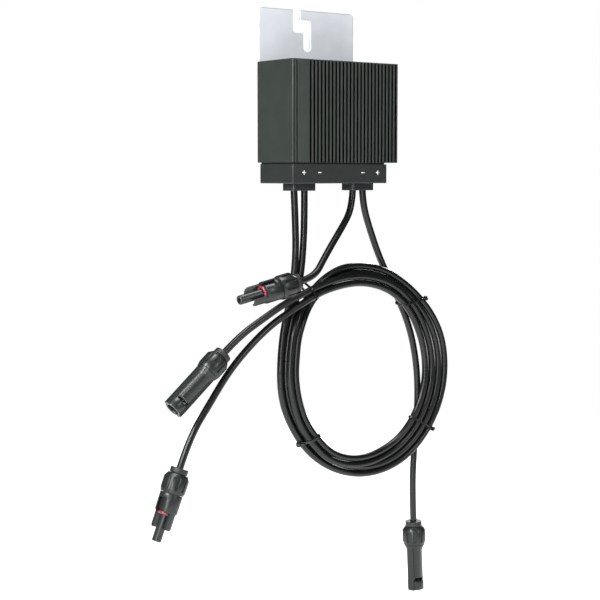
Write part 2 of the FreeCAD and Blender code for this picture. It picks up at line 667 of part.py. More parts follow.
def board_screws():
    screws = []
    for x, z in BOARD_SCREWS:
        head = cylinder((x, BOARD_FRONT, z), "board_screw_head / 2", "board_screw_cap", along="-y")
        shank = cylinder((x, BOARD_FRONT, z), "board_screw_thread / 2",
                         "board_thickness + board_screw_reach - 0.3", along="+y")
        screws.append(joined([head, shank]))
    keep(group(screws), "board_screws")


TRANSISTOR_LEFT = "(%s + transistor_across)" % BOARD_LEFT
TRANSISTOR_LOW = "(%s + transistor_rise)" % BOARD_BOTTOM
INDUCTOR_X = "(%s + inductor_across)" % BOARD_LEFT
CHOKE_X = "(%s + inductor_diameter / 2 + choke_gap + choke_diameter / 2)" % INDUCTOR_X


def heat_pad():
    side = "(3 * transistor_pitch + transistor_width + 2)"
    keep(box(("%s - 1" % TRANSISTOR_LEFT, CHAMBER_FRONT, "%s - 1" % TRANSISTOR_LOW),
             ("%s - 1 + %s" % (TRANSISTOR_LEFT, side), "%s + pad_thickness" % CHAMBER_FRONT,
              "%s + transistor_height + 1" % TRANSISTOR_LOW)), "heat_pad")


def power_transistors():
    """Cases on the heat pad, each with three leads that bend back to the board."""
    cases = []
    front = "(%s + pad_thickness)" % CHAMBER_FRONT
    lead_y = "(%s + transistor_thickness / 2)" % front
    for number in range(4):
        left = "(%s + %d * transistor_pitch)" % (TRANSISTOR_LEFT, number)
        case = box((left, front, TRANSISTOR_LOW),
                   ("%s + transistor_width" % left, "%s + transistor_thickness" % front,
                    "%s + transistor_height" % TRANSISTOR_LOW))
        pieces = [case]
        for lead in (-1, 0, 1):
            x = "(%s + transistor_width / 2 + %d * lead_pitch - lead_width / 2)" % (left, lead)
            fall = "(%s - 4)" % TRANSISTOR_LOW
            pieces.append(box((x, lead_y, fall),
                              (x + " + lead_width", "%s + lead_width / 2" % lead_y, TRANSISTOR_LOW)))
            pieces.append(box((x, lead_y, "%s - lead_width / 2" % fall),
                              (x + " + lead_width", BOARD_FRONT, fall)))
        cases.append(joined(pieces))
    keep(group(cases), "power_transistors")


def wound_core(core_label, winding_label, x, z, diameter, height):
    """Drum core that stands on the board, with its copper winding between the flanges."""
    low = cylinder((x, BOARD_FRONT, z), "%s / 2" % diameter, "flange_thickness", along="-y")
    post = cylinder((x, BOARD_FRONT, z), "%s * 0.22" % diameter, height, along="-y")
    far = "(%s - %s + flange_thickness)" % (BOARD_FRONT, height)
    high = cylinder((x, far, z), "%s / 2" % diameter, "flange_thickness", along="-y")
    keep(joined([low, post, high]), core_label)
    start = "(%s - flange_thickness)" % BOARD_FRONT
    length = "(%s - 2 * flange_thickness)" % height
    wires = cylinder((x, start, z), "%s * 0.45" % diameter, length, along="-y")
    eye = cylinder((x, start, z), "%s * 0.22" % diameter, length, along="-y")
    keep(cut(wires, [eye]), winding_label)


def storage_capacitors():
    cans = []
    z = "(%s - capacitor_down)" % BOARD_TOP
    for number in range(int(size("capacitor_count"))):
        x = "(%s + capacitor_across + %d * capacitor_pitch)" % (BOARD_LEFT, number)
        cans.append(cylinder((x, BOARD_FRONT, z), "capacitor_diameter / 2", TALLEST_PART, along="-y"))
    keep(group(cans), "storage_capacitors")


def controller_chip():
    x = "(%s + chip_across)" % BOARD_LEFT
    z = "(%s - chip_down)" % BOARD_TOP
    case = box((x, "%s - chip_thickness" % BOARD_FRONT, z),
               ("%s + chip_side" % x, "%s - 0.2" % BOARD_FRONT, "%s + chip_side" % z))
    feet = box(("%s - 1" % x, "%s - 0.4" % BOARD_FRONT, "%s + 1" % z),
               ("%s + chip_side + 1" % x, BOARD_FRONT, "%s + chip_side - 1" % z))
    more_feet = box(("%s + 1" % x, "%s - 0.4" % BOARD_FRONT, "%s - 1" % z),
                    ("%s + chip_side - 1" % x, BOARD_FRONT, "%s + chip_side + 1" % z))
    keep(joined([case, feet, more_feet]), "controller_chip")


def signal_transformer():
    x = "(%s + transformer_across)" % BOARD_LEFT
    z = "(%s - transformer_down)" % BOARD_TOP
    foot = box((x, "%s - 2" % BOARD_FRONT, z),
               ("%s + transformer_width" % x, BOARD_FRONT, "%s + transformer_width" % z))
    core = box(("%s + 1.5" % x, "%s - transformer_depth" % BOARD_FRONT, "%s + 0.5" % z),
               ("%s + transformer_width - 1.5" % x, "%s - 2" % BOARD_FRONT, "%s + transformer_width - 0.5" % z))
    keep(joined([foot, core]), "signal_transformer")


def wire_x(entry_x, side):
    return "(%s %s cord_pitch / 2)" % (entry_x, side)


def terminal_posts():
    posts = []
    for entry_x in (OUTPUT_X, INPUT_X):
        for side in "-+":
            x = wire_x(entry_x, side)
            posts.append(box(("%s - terminal_width / 2" % x, "%s - terminal_depth" % BOARD_FRONT, BOARD_BOTTOM),
                             ("%s + terminal_width / 2" % x, BOARD_FRONT, "%s + terminal_height" % BOARD_BOTTOM)))
    keep(group(posts), "terminal_posts")


# Cords: straight runs joined by tangent arcs, and the coil's outer shape
CORD = size("cord_diameter")
ENTRY_LEVEL = size(ENTRY_BOTTOM)
CORD_PLANE = size(ENTRY_Y)


def bend_radius(before, corner, after):
    """Arc radius at a corner: 0.45 of the shorter run over the tangent of half the turn."""
    one, two = corner - before, after - corner
    half_turn = one.getAngle(two) / 2
    return 0.45 * min(one.Length, two.Length) / math.tan(half_turn)


def route_wire(points):
    """Wire along a route, with an arc at each inner point."""
    edges = []
    start = points[0]
    for before, corner, after in zip(points, points[1:], points[2:]):
        back, ahead = (before - corner).normalize(), (after - corner).normalize()
        reach = 0.45 * min((before - corner).Length, (after - corner).Length)
        half_turn = (corner - before).getAngle(after - corner) / 2
        radius = bend_radius(before, corner, after)
        inward = (back + ahead).normalize()
        depth = radius / math.cos(half_turn) - radius
        arc_start, arc_end = corner + back * reach, corner + ahead * reach
        edges.append(Part.LineSegment(start, arc_start).toShape())
        edges.append(Part.Arc(arc_start, corner + inward * depth, arc_end).toShape())
        start = arc_end
    edges.append(Part.LineSegment(start, points[-1]).toShape())
    return Part.Wire(edges)


def tube(points, diameter):
    """Solid round tube along a route."""
    wire = route_wire(points)
    ring = Part.Wire([Part.makeCircle(diameter / 2, points[0], points[1] - points[0])])
    solid = wire.makePipeShell([ring], True, False)
    return solid, wire.Length


def cord_tube(label, points, diameter):
    """Cord along its un-coiled stretch; prints its length and arc radii."""
    solid, length = tube(points, diameter)
    if abs(points[0].z - ENTRY_LEVEL) < 1e-6:
        first_run = (points[1] - points[0]).normalize()
        inside = diameter / 2
        root = Part.makeCylinder(diameter / 2, inside, points[0] - first_run * inside, first_run)
        block = Part.makeBox(diameter * 2, diameter * 2, diameter * 2)
        block.translate(points[0] - V(diameter, diameter, 0))
        solid = solid.fuse(root).cut(block).removeSplitter()
    radii = [bend_radius(*corner) for corner in zip(points, points[1:], points[2:])]
    expected = math.pi * diameter ** 2 / 4 * length
    print("%s: length %.1f, arc radii %s, volume %.4f of section x length"
          % (label, length, " ".join("%.0f" % radius for radius in radii), solid.Volume / expected))
    item = doc.addObject("Part::Feature", label)
    item.Shape = solid
    keep(item, label)


# The routes are drawn from this middle between the cable entries, and move with it
ROUTE_HOME = V(-2.5, -41.85, -141.0)
ROUTE_SHIFT = V(size(COVER_MIDDLE), CORD_PLANE, ENTRY_LEVEL) - ROUTE_HOME


def cord_start(entry_x, side):
    return V(size(wire_x(entry_x, side)), CORD_PLANE, ENTRY_LEVEL)


def at(x, y, z):
    return V(x, y, z) + ROUTE_SHIFT


# Hand-chosen routes, from the cable entries down
OUTPUT_PLUS_LEAD = [
    cord_start(OUTPUT_X, "-"), at(-43.0, -41.9, -171.0), at(-42.7, -42.3, -203.0),
    at(-46.6, -42.8, -231.5), at(-51.9, -43.2, -252.4),
]
OUTPUT_MINUS_LEAD = [
    cord_start(OUTPUT_X, "+"), at(-32.2, -41.9, -171.0), at(-34.2, -42.2, -202.0),
    at(-36.8, -42.6, -222.0), at(-41.0, -43.0, -240.0),
]
OUTPUT_PLUS_TAIL = [
    at(-41.5, -50.4, -240.3), at(-62.0, -50.4, -248.0), at(-84.0, -50.4, -259.4),
    at(-114.3, -50.4, -275.7), at(-132.0, -50.4, -290.7),
]
OUTPUT_MINUS_TAIL = [
    at(-55.0, -50.4, -255.7), at(-76.0, -50.4, -266.2), at(-100.5, -50.4, -284.0),
    at(-126.5, -50.4, -308.2), at(-149.0, -50.4, -338.2), at(-169.2, -50.4, -365.2),
    at(-180.1, -50.4, -392.3),
]
INPUT_MINUS_CORD = [
    cord_start(INPUT_X, "-"), at(24.9, -42.6, -154.0), at(17.2, -45.4, -167.5),
    at(-3.0, -52.6, -187.0), at(-17.0, -57.2, -204.5), at(-30.0, -60.5, -217.8),
    at(-43.4, -61.3, -225.0), at(-54.2, -61.3, -227.2),
]
INPUT_PLUS_CORD = [
    cord_start(INPUT_X, "+"), at(41.2, -41.0, -155.0), at(50.5, -38.5, -176.5),
    at(67.2, -36.1, -210.5), at(89.2, -36.1, -248.0), at(107.0, -36.1, -284.0),
    at(116.4, -36.1, -326.0), at(117.4, -36.2, -366.0), at(113.6, -36.6, -408.0),
    at(110.9, -38.0, -448.0), at(113.0, -38.0, -486.1),
]

# How far each lead and tail keeps its direction inside the coil, and where it goes from there
OUTPUT_PLUS_IN = (26.0, [at(-62.6, -43.6, -306.0)])
OUTPUT_MINUS_IN = (24.0, [at(-53.5, -43.6, -287.0), at(-56.4, -43.6, -306.0)])
OUTPUT_PLUS_OUT = (16.0, [at(-8.0, -50.4, -227.0)])
OUTPUT_MINUS_OUT = (18.0, [at(-20.0, -50.4, -237.5)])

# Centre lines of the coil's outermost and innermost cords: radii every 15 degrees from the right
COIL_CENTRE = at(40.5, -47.0, -320.0)
COIL_STEP = 15
OUTER_CORD = [
    105.8, 104.2, 100.8, 98.0, 97.7, 98.8, 103.6, 107.4, 108.0, 107.6, 107.5, 107.0,
    104.8, 104.2, 102.8, 102.9, 103.0, 103.6, 105.2, 106.7, 107.8, 107.6, 107.4, 107.0,
]
INNER_CORD = [
    76.0, 76.8, 78.0, 79.5, 81.5, 84.5, 86.6, 89.0, 91.5, 92.6, 91.6, 88.6,
    86.8, 86.5, 87.4, 88.6, 90.2, 89.7, 88.5, 86.6, 84.2, 81.6, 79.0, 77.0,
]


def coil_outline(radii, beyond, depth):
    """Closed smooth outline round the coil, at a distance beyond a row of radii."""
    curve = Part.BSplineCurve()
    points = []
    for index, radius in enumerate(radii):
        turn = math.radians(index * COIL_STEP)
        out = V(math.cos(turn), 0, math.sin(turn))
        points.append(COIL_CENTRE + out * (radius + beyond) + V(0, depth, 0))
    curve.interpolate(points, PeriodicFlag=True)
    return Part.Wire([curve.toShape()])


def coil_reach(radii, angle):
    """Radius of a row at any angle, between its two nearest values."""
    place = angle % 360 / COIL_STEP
    index = int(place)
    after = radii[(index + 1) % len(radii)]
    return radii[index] + (after - radii[index]) * (place - index)


def run_in(end, before, entry):
    """Route of a cord's end inside the coil: straight on from the tube, then along its turns."""
    straight, rest = entry
    return [end, end + (end - before).normalize() * straight] + rest


def output_coil():
    """Outer shape of the two output cords' turns, with the four short ends that run into it."""
    depth = size("coil_depth")
    outside = Part.Face(coil_outline(OUTER_CORD, CORD / 2, -depth / 2)).extrude(V(0, depth, 0))
    eye = Part.Face(coil_outline(INNER_CORD, -CORD / 2, -depth / 2)).extrude(V(0, depth, 0))
    ring = outside.cut(eye)
    rims = [edge for edge in ring.Edges if edge.BoundBox.YLength < 0.01]
    ring = ring.makeFillet(size("coil_round"), rims)
    ends = [
        run_in(OUTPUT_PLUS_LEAD[-1], OUTPUT_PLUS_LEAD[-2], OUTPUT_PLUS_IN),
        run_in(OUTPUT_MINUS_LEAD[-1], OUTPUT_MINUS_LEAD[-2], OUTPUT_MINUS_IN),
        run_in(OUTPUT_PLUS_TAIL[0], OUTPUT_PLUS_TAIL[1], OUTPUT_PLUS_OUT),
        run_in(OUTPUT_MINUS_TAIL[0], OUTPUT_MINUS_TAIL[1], OUTPUT_MINUS_OUT),
    ]
    for route in ends:
        ring = ring.fuse(tube(route, CORD)[0])
    item = doc.addObject("Part::Feature", "coil")
    item.Shape = ring
    keep(item, "output_coil")


def tie_section(across, low, high, inner, outer, grow):
    """Rounded outline of a tie, in the plane through the coil's axis."""
    corner = size("coil_round") + grow
    a, b = inner - grow, outer + grow
    c, d = low - grow, high + grow

    def at(radial, depth):
        return COIL_CENTRE + across * radial + V(0, depth, 0)

    turn = corner * (1 - math.sqrt(0.5))
    edges = [
        Part.LineSegment(at(a + corner, c), at(b - corner, c)).toShape(),
        Part.Arc(at(b - corner, c), at(b - turn, c + turn), at(b, c + corner)).toShape(),
        Part.LineSegment(at(b, c + corner), at(b, d - corner)).toShape(),
        Part.Arc(at(b, d - corner), at(b - turn, d - turn), at(b - corner, d)).toShape(),
        Part.LineSegment(at(b - corner, d), at(a + corner, d)).toShape(),
        Part.Arc(at(a + corner, d), at(a + turn, d - turn), at(a, d - corner)).toShape(),
        Part.LineSegment(at(a, d - corner), at(a, c + corner)).toShape(),
        Part.Arc(at(a, c + corner), at(a + turn, c + turn), at(a + corner, c)).toShape(),
    ]
    return Part.Face(Part.Wire(edges))


def cable_tie(label, angle, behind, outside):
    """Tie round the coil at an angle; it also takes in a cord behind or outside the coil."""
    across = V(math.cos(math.radians(angle)), 0, math.sin(math.radians(angle)))
    along = V(-across.z, 0, across.x)
    width, thickness, slack = size("tie_width"), size("tie_thickness"), size("tie_clearance")
    inner = coil_reach(INNER_CORD, angle) - CORD / 2
    outer = coil_reach(OUTER_CORD, angle) + CORD / 2 + outside
    low, high = -size("coil_depth") / 2, size("coil_depth") / 2 + behind
    band = tie_section(across, low, high, inner, outer, slack + thickness)
    opening = tie_section(across, low, high, inner, outer, slack)
    ring = band.cut(opening).extrude(along * width)
    ring.translate(along * (-width / 2))
    head_length, head_height = 1.9 * width, 1.4 * width
    edge = COIL_CENTRE + across * (outer + slack) + V(0, low + thickness, 0)
    turned = FreeCAD.Rotation(along, V(), across, "ZXY")
    head = Part.makeBox(head_height, head_length, head_height)
    head.Placement = FreeCAD.Placement(edge - along * (head_height / 2) + V(0, head_length, 0), turned)
    tail = Part.makeBox(width, width, thickness)
    tail.Placement = FreeCAD.Placement(edge - along * (width / 2) + across * thickness, turned)
    solid = ring.fuse(head).fuse(tail)
    item = doc.addObject("Part::Feature", label)
    item.Shape = solid.removeSplitter()
    keep(item, label)


# Wires inside the cover, from the cable entries' lips to the terminal posts

def entry_wires(label, entry_x):
    level = size("%s + entry_lip" % FLOOR_TOP)
    post_y = size("%s - terminal_depth / 2" % BOARD_FRONT)
    diameter = size("wire_diameter")
    wires = []
    for side in "-+":
        x = size(wire_x(entry_x, side))
        route = [
            V(x, CORD_PLANE, level), V(x, CORD_PLANE, level + 7.0),
            V(x, post_y, size(BOTTOM) - 5.0), V(x, post_y, size(BOARD_BOTTOM)),
        ]
        wires.append(tube(route, diameter)[0])
    item = doc.addObject("Part::Feature", label)
    item.Shape = Part.makeCompound(wires)
    keep(item, label)


# Connector pieces, each drawn along +Z from the connector's rear and then put in place

def cord_collar(label, place):
    body = new_body(label)
    revolution(body, [
        ("0", "0"), ("collar_radius", "0"), ("collar_radius", "collar_length"),
        ("collar_neck", "collar_length"), ("collar_neck", "thread_start"), ("0", "thread_start"),
    ])
    keep(body, label, place)


def cap_nut(label, place):
    body = new_body(label)
    revolution(body, [
        ("collar_neck", "nut_start"), ("nut_mouth", "nut_start"), ("nut_radius", "nut_start + 4"),
        ("nut_radius", "nut_end - 3.5"), ("nut_radius - 0.9", "nut_end"), ("thread_radius", "nut_end"),
        ("thread_radius", "thread_start"), ("collar_neck", "thread_start"),
    ])
    grip = sketch_on(body, "XY_Plane", "nut_end - 3.5")
    add_rectangle(grip, "nut_radius - grip_depth", "-grip_width / 2", "nut_radius + 2", "grip_width / 2")
    groove = pocket(body, grip, "nut_end - nut_start - 3.5")
    pattern = body.newObject("PartDesign::PolarPattern", body.Name + "_grips")
    pattern.Originals = [groove]
    pattern.Axis = (grip, ["N_Axis"])
    pattern.Angle = 360
    pattern.setExpression("Occurrences", bound("grip_count"))
    body.Tip = pattern
    keep(body, label, place)


def plug_housing(label, place):
    """Threaded stub, shell with two notches, two latch prongs, inner body and front tube."""
    body = new_body(label)
    prong_inner = "(prong_radius - prong_thickness)"
    revolution(body, [
        ("nose_bore", "thread_start"), ("thread_radius", "thread_start"), ("thread_radius", "nut_end + 0.3"),
        ("shell_radius", "nut_end + 0.3"), ("shell_radius", "shell_end - 1.5"), ("prong_radius", "shell_end"),
        ("prong_radius", "prong_end - 2"), ("prong_radius - 0.8", "prong_end"), (prong_inner, "prong_end"),
        (prong_inner, "nut_end + 3"), ("nose_bore", "nut_end + 3"),
    ])
    notches = sketch_on(body, "XZ_Plane")
    add_rectangle(notches, "-notch_width / 2", "notch_start", "notch_width / 2", "prong_end + 1")
    pocket(body, notches, "4 * shell_radius", both=True)
    sides = sketch_on(body, "YZ_Plane")
    for side in ("-", ""):
        low, high = "%sprong_width / 2" % side, "%s(shell_radius + 1)" % side
        if side:
            low, high = high, low
        add_rectangle(sides, low, "shell_end", high, "prong_end + 1")
    pocket(body, sides, "4 * shell_radius", both=True)
    revolution(body, [
        ("nose_bore", "nut_end + 1"), ("core_radius", "nut_end + 1"), ("core_radius", "core_end - 1"),
        ("nose_radius + ring_radius", "core_end"), ("nose_radius", "core_end"),
        ("nose_radius", "plug_length - 0.6"), ("nose_radius - 0.6", "plug_length"),
        ("nose_bore", "plug_length"),
    ])
    keep(body, label, place)


def sealing_ring(label, place):
    item = doc.addObject("Part::Torus", "Ring")
    item.setExpression("Radius1", bound("nose_radius + ring_radius"))
    item.setExpression("Radius2", bound("ring_radius"))
    shift = FreeCAD.Placement(V(0, 0, size("core_end + ring_radius")), FreeCAD.Rotation())
    keep(item, label, place.multiply(shift))


def socket_housing(label, place):
    """Threaded stub, taper, barrel with its bore, and a mouth ring carried by two side rails."""
    body = new_body(label)
    revolution(body, [
        ("nose_bore", "thread_start"), ("thread_radius", "thread_start"), ("thread_radius", "nut_end + 0.3"),
        ("nut_radius - 0.9", "nut_end + 0.3"), ("barrel_radius", "taper_end"), ("barrel_radius", "barrel_end"),
        ("socket_bore", "barrel_end"), ("socket_bore", "socket_bore_start"), ("nose_bore", "socket_bore_start"),
    ])
    rails = sketch_on(body, "XY_Plane", "taper_end - 4")
    for side in ("-", ""):
        near, far = "%s(barrel_radius - 1.4)" % side, "%srail_reach" % side
        if side:
            near, far = far, near
        add_rectangle(rails, near, "-rail_width / 2", far, "rail_width / 2")
    pad(body, rails, "socket_length - taper_end + 4")
    mouth = sketch_on(body, "XY_Plane", "mouth_start")
    add_circle(mouth, "0", "0", "mouth_radius")
    add_circle(mouth, "0", "0", "mouth_radius - 2")
    pad(body, mouth, "socket_length - mouth_start")
    keep(body, label, place)


def contact_pin(label, place):
    body = new_body(label)
    revolution(body, [
        ("0", "thread_start"), ("nose_bore", "thread_start"), ("nose_bore", "contact_seat"),
        ("pin_radius", "contact_seat"), ("pin_radius", "pin_end - 1"), ("pin_radius / 2", "pin_end"),
        ("0", "pin_end"),
    ])
    keep(body, label, place)


def contact_sleeve(label, place):
    body = new_body(label)
    revolution(body, [
        ("0", "thread_start"), ("nose_bore", "thread_start"), ("nose_bore", "sleeve_end"),
        ("pin_radius", "sleeve_end"), ("pin_radius", "socket_bore_start"), ("0", "socket_bore_start"),
    ])
    keep(body, label, place)


def connector_place(route, side):
    """Placement at the end of a cord's route: +Z along the cord, +X towards the given side."""
    along = (route[-1] - route[-2]).normalize()
    across = (side - along * side.dot(along)).normalize()
    return FreeCAD.Placement(route[-1], FreeCAD.Rotation(across, V(), along, "ZXY"))


def connector(name, kind, route, side):
    place = connector_place(route, side)
    cord_collar(name + "_collar", place)
    cap_nut(name + "_cap_nut", place)
    if kind == "plug":
        plug_housing(name + "_housing", place)
        sealing_ring(name + "_sealing_ring", place)
        contact_pin(name + "_pin", place)
    else:
        socket_housing(name + "_housing", place)
        contact_sleeve(name + "_sleeve", place)


heat_sink_housing()
mounting_bracket()
bracket_screws()
cover_gasket()
bottom_cover()
cover_screws()
cable_entry("output_cable_entry", OUTPUT_X)
cable_entry("input_cable_entry", INPUT_X)
circuit_board()
board_screws()
heat_pad()
power_transistors()
wound_core("power_inductor_core", "power_inductor_winding", INDUCTOR_X,
           "(%s - inductor_down)" % BOARD_TOP, "inductor_diameter", TALLEST_PART)
wound_core("filter_choke_core", "filter_choke_winding", CHOKE_X,
           "(%s - choke_down)" % BOARD_TOP, "choke_diameter", "(%s - 1)" % TALLEST_PART)
storage_capacitors()
controller_chip()
signal_transformer()
terminal_posts()
entry_wires("output_wires", OUTPUT_X)
entry_wires("input_wires", INPUT_X)
cord_tube("output_plus_lead", OUTPUT_PLUS_LEAD, CORD)
cord_tube("output_minus_lead", OUTPUT_MINUS_LEAD, CORD)
output_coil()
cord_tube("output_plus_tail", OUTPUT_PLUS_TAIL, CORD)
cord_tube("output_minus_tail", OUTPUT_MINUS_TAIL, CORD)
cord_tube("input_minus_cord", INPUT_MINUS_CORD, CORD)
cord_tube("input_plus_cord", INPUT_PLUS_CORD, CORD)
cable_tie("tie_upper_left", 128.6, 0.0, 1.6)
cable_tie("tie_upper_right", 46.7, 7.4, 0.0)
cable_tie("tie_lower_right", -40.7, 7.4, 0.0)
cable_tie("tie_lower_left", 221.5, 0.0, 0.0)
connector("input_minus_plug", "plug", INPUT_MINUS_CORD, V(0.13, -0.75, -0.64))
connector("output_plus_socket", "socket", OUTPUT_PLUS_TAIL, V(-0.64, 0.16, 0.75))
connector("output_minus_plug", "plug", OUTPUT_MINUS_TAIL, V(0.32, -0.94, 0.05))
connector("input_plus_socket", "socket", INPUT_PLUS_CORD, V(-0.95, -0.31, 0))

doc.recompute()
for item in doc.Objects:
    if "Invalid" in item.State or "Error" in item.State:
        raise RuntimeError("%s failed: %s" % (item.Label, item.State))
for item in SUB_PARTS:
    if item.Shape.isNull() or not item.Shape.isValid():
        raise RuntimeError("%s has no valid shape" % item.Label)

os.makedirs("parts", exist_ok=True)
for item in SUB_PARTS:
    item.Shape.exportStep("parts/%s.step" % item.Label)
print("%d sub-parts written" % len(SUB_PARTS))
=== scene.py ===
import bpy
import json
import math
from mathutils import Matrix, Vector

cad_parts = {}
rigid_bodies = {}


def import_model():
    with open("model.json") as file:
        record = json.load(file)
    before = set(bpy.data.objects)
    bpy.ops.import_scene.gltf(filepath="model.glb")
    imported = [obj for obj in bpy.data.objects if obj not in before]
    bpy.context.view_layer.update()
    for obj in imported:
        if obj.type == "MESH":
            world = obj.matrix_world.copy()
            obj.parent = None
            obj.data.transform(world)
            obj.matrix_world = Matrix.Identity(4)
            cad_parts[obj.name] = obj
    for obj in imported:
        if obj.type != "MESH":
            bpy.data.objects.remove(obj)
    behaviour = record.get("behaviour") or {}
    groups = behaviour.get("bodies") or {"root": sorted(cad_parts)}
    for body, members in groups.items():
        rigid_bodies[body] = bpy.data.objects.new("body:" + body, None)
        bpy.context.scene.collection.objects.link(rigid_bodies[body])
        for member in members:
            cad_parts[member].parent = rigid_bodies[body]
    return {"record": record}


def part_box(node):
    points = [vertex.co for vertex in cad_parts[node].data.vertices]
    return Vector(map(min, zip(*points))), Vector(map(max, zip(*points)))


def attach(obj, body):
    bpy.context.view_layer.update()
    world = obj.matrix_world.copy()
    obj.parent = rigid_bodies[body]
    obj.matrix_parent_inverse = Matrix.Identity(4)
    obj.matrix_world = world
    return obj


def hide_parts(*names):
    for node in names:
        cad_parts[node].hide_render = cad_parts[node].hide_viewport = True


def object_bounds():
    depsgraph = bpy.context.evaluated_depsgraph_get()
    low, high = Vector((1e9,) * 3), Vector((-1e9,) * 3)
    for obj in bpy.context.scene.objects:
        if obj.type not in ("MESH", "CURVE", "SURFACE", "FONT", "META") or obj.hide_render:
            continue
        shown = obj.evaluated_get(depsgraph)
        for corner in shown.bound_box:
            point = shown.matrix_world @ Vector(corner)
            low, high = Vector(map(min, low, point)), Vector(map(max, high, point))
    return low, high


# Solar power optimizer, in metres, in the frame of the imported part.
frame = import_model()
cad_low, cad_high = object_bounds()


# Camera, from the front left and a little above

CAMERA_PLACE = (-0.86281, -1.15565, -0.12454)
CAMERA_RIGHT = Vector((0.8034414, -0.5953838, 0.0))
CAMERA_UP = Vector((0.0520982, 0.0703039, 0.9961642))
SENSOR_WIDTH, FOCAL_LENGTH = 36.0, 86.362
FARTHEST_SEEN = 20.0


def add_camera():
    data = bpy.data.cameras.new("camera")
    data.sensor_width = SENSOR_WIDTH
    data.lens = FOCAL_LENGTH
    data.clip_end = FARTHEST_SEEN
    camera = bpy.data.objects.new("camera", data)
    axes = Matrix((CAMERA_RIGHT, CAMERA_UP, CAMERA_RIGHT.cross(CAMERA_UP)))
    camera.matrix_world = Matrix.Translation(CAMERA_PLACE) @ axes.transposed().to_4x4()
    bpy.context.scene.collection.objects.link(camera)
    bpy.context.scene.camera = camera


add_camera()


# Materials

COAT_ROUGHNESS = 0.15
GLOSS_SPREAD = 0.06
GRAIN_DEPTH = 0.0002


def worked_out(nodes, links, operation, *values):
    """Result of an operation on values, each a number or another node's output."""
    node = nodes.new("ShaderNodeMath")
    node.operation = operation
    for socket, value in zip(node.inputs, values):
        if isinstance(value, float):
            socket.default_value = value
        else:
            links.new(value, socket)
    return node.outputs["Value"]


def slope(nodes, links, value, start, end, first, last):
    """Runs from first to last while a value runs from start to end."""
    node = nodes.new("ShaderNodeMapRange")
    for name, number in (("From Min", start), ("From Max", end), ("To Min", first), ("To Max", last)):
        node.inputs[name].default_value = number
    links.new(value, node.inputs["Value"])
    return node.outputs["Result"]


def surface(name, color, roughness, metallic=0.0, mottle=0.08, mottle_scale=60.0, grain=1500.0,
            grain_height=0.15, coat=0.0, ior=1.5, soft_edge=0.0, shade=None):
    """Shader with uneven colour and gloss and a fine bump, all from noise in object space.

    soft_edge is the radius that the light sees on the edges, and shade(nodes, links, place)
    gives a factor for the colour, which paints light and shade onto it by place."""
    made = bpy.data.materials.new(name)
    made.use_nodes = True
    nodes, links = made.node_tree.nodes, made.node_tree.links
    shader = nodes["Principled BSDF"]
    shader.inputs["Metallic"].default_value = metallic
    shader.inputs["IOR"].default_value = ior
    shader.inputs["Coat Weight"].default_value = coat
    shader.inputs["Coat Roughness"].default_value = COAT_ROUGHNESS
    place = nodes.new("ShaderNodeTexCoord")

    cloud = nodes.new("ShaderNodeTexNoise")
    cloud.inputs["Scale"].default_value = mottle_scale
    cloud.inputs["Detail"].default_value = 5.0
    links.new(place.outputs["Object"], cloud.inputs["Vector"])
    ramp = nodes.new("ShaderNodeValToRGB")
    ramp.color_ramp.elements[0].position = 0.3
    ramp.color_ramp.elements[1].position = 0.7
    ramp.color_ramp.elements[0].color = [part * (1 - mottle) for part in color] + [1.0]
    ramp.color_ramp.elements[1].color = [part * (1 + mottle) for part in color] + [1.0]
    links.new(cloud.outputs["Fac"], ramp.inputs["Fac"])
    tint = ramp.outputs["Color"]
    if shade:
        scaled = nodes.new("ShaderNodeVectorMath")
        scaled.operation = "SCALE"
        links.new(tint, scaled.inputs[0])
        links.new(shade(nodes, links, place.outputs["Object"]), scaled.inputs["Scale"])
        tint = scaled.outputs["Vector"]
    links.new(tint, shader.inputs["Base Color"])

    shiny, dull = roughness - GLOSS_SPREAD, roughness + GLOSS_SPREAD
    gloss = slope(nodes, links, cloud.outputs["Fac"], 0, 1, shiny, dull)
    links.new(gloss, shader.inputs["Roughness"])

    fine = nodes.new("ShaderNodeTexNoise")
    fine.inputs["Scale"].default_value = grain
    fine.inputs["Detail"].default_value = 3.0
    links.new(place.outputs["Object"], fine.inputs["Vector"])
    bump = nodes.new("ShaderNodeBump")
    bump.inputs["Strength"].default_value = grain_height
    bump.inputs["Distance"].default_value = GRAIN_DEPTH
    links.new(fine.outputs["Fac"], bump.inputs["Height"])
    if soft_edge:
        rounded = nodes.new("ShaderNodeBevel")
        rounded.samples = 4
        rounded.inputs["Radius"].default_value = soft_edge
        links.new(rounded.outputs["Normal"], bump.inputs["Normal"])
    links.new(bump.outputs["Normal"], shader.inputs["Normal"])
    return made


HOUSING_LOW, HOUSING_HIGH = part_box("heat_sink_housing")
# Depth of the outer faces, where the front gets painted light, and how deep between the fins the painted
# shade grows to full
OUTER_FACE_DEPTH, PAINTED_SHADE_DEPTH = 0.0006, 0.0005
# Painted light on the front faces, painted shade between the fins, and the darkest that painted shade goes
FRONT_PAINTED_LIGHT, CHANNEL_PAINTED_SHADE, DARKEST_PAINTED_SHADE = 1.45, 1.35, 0.012


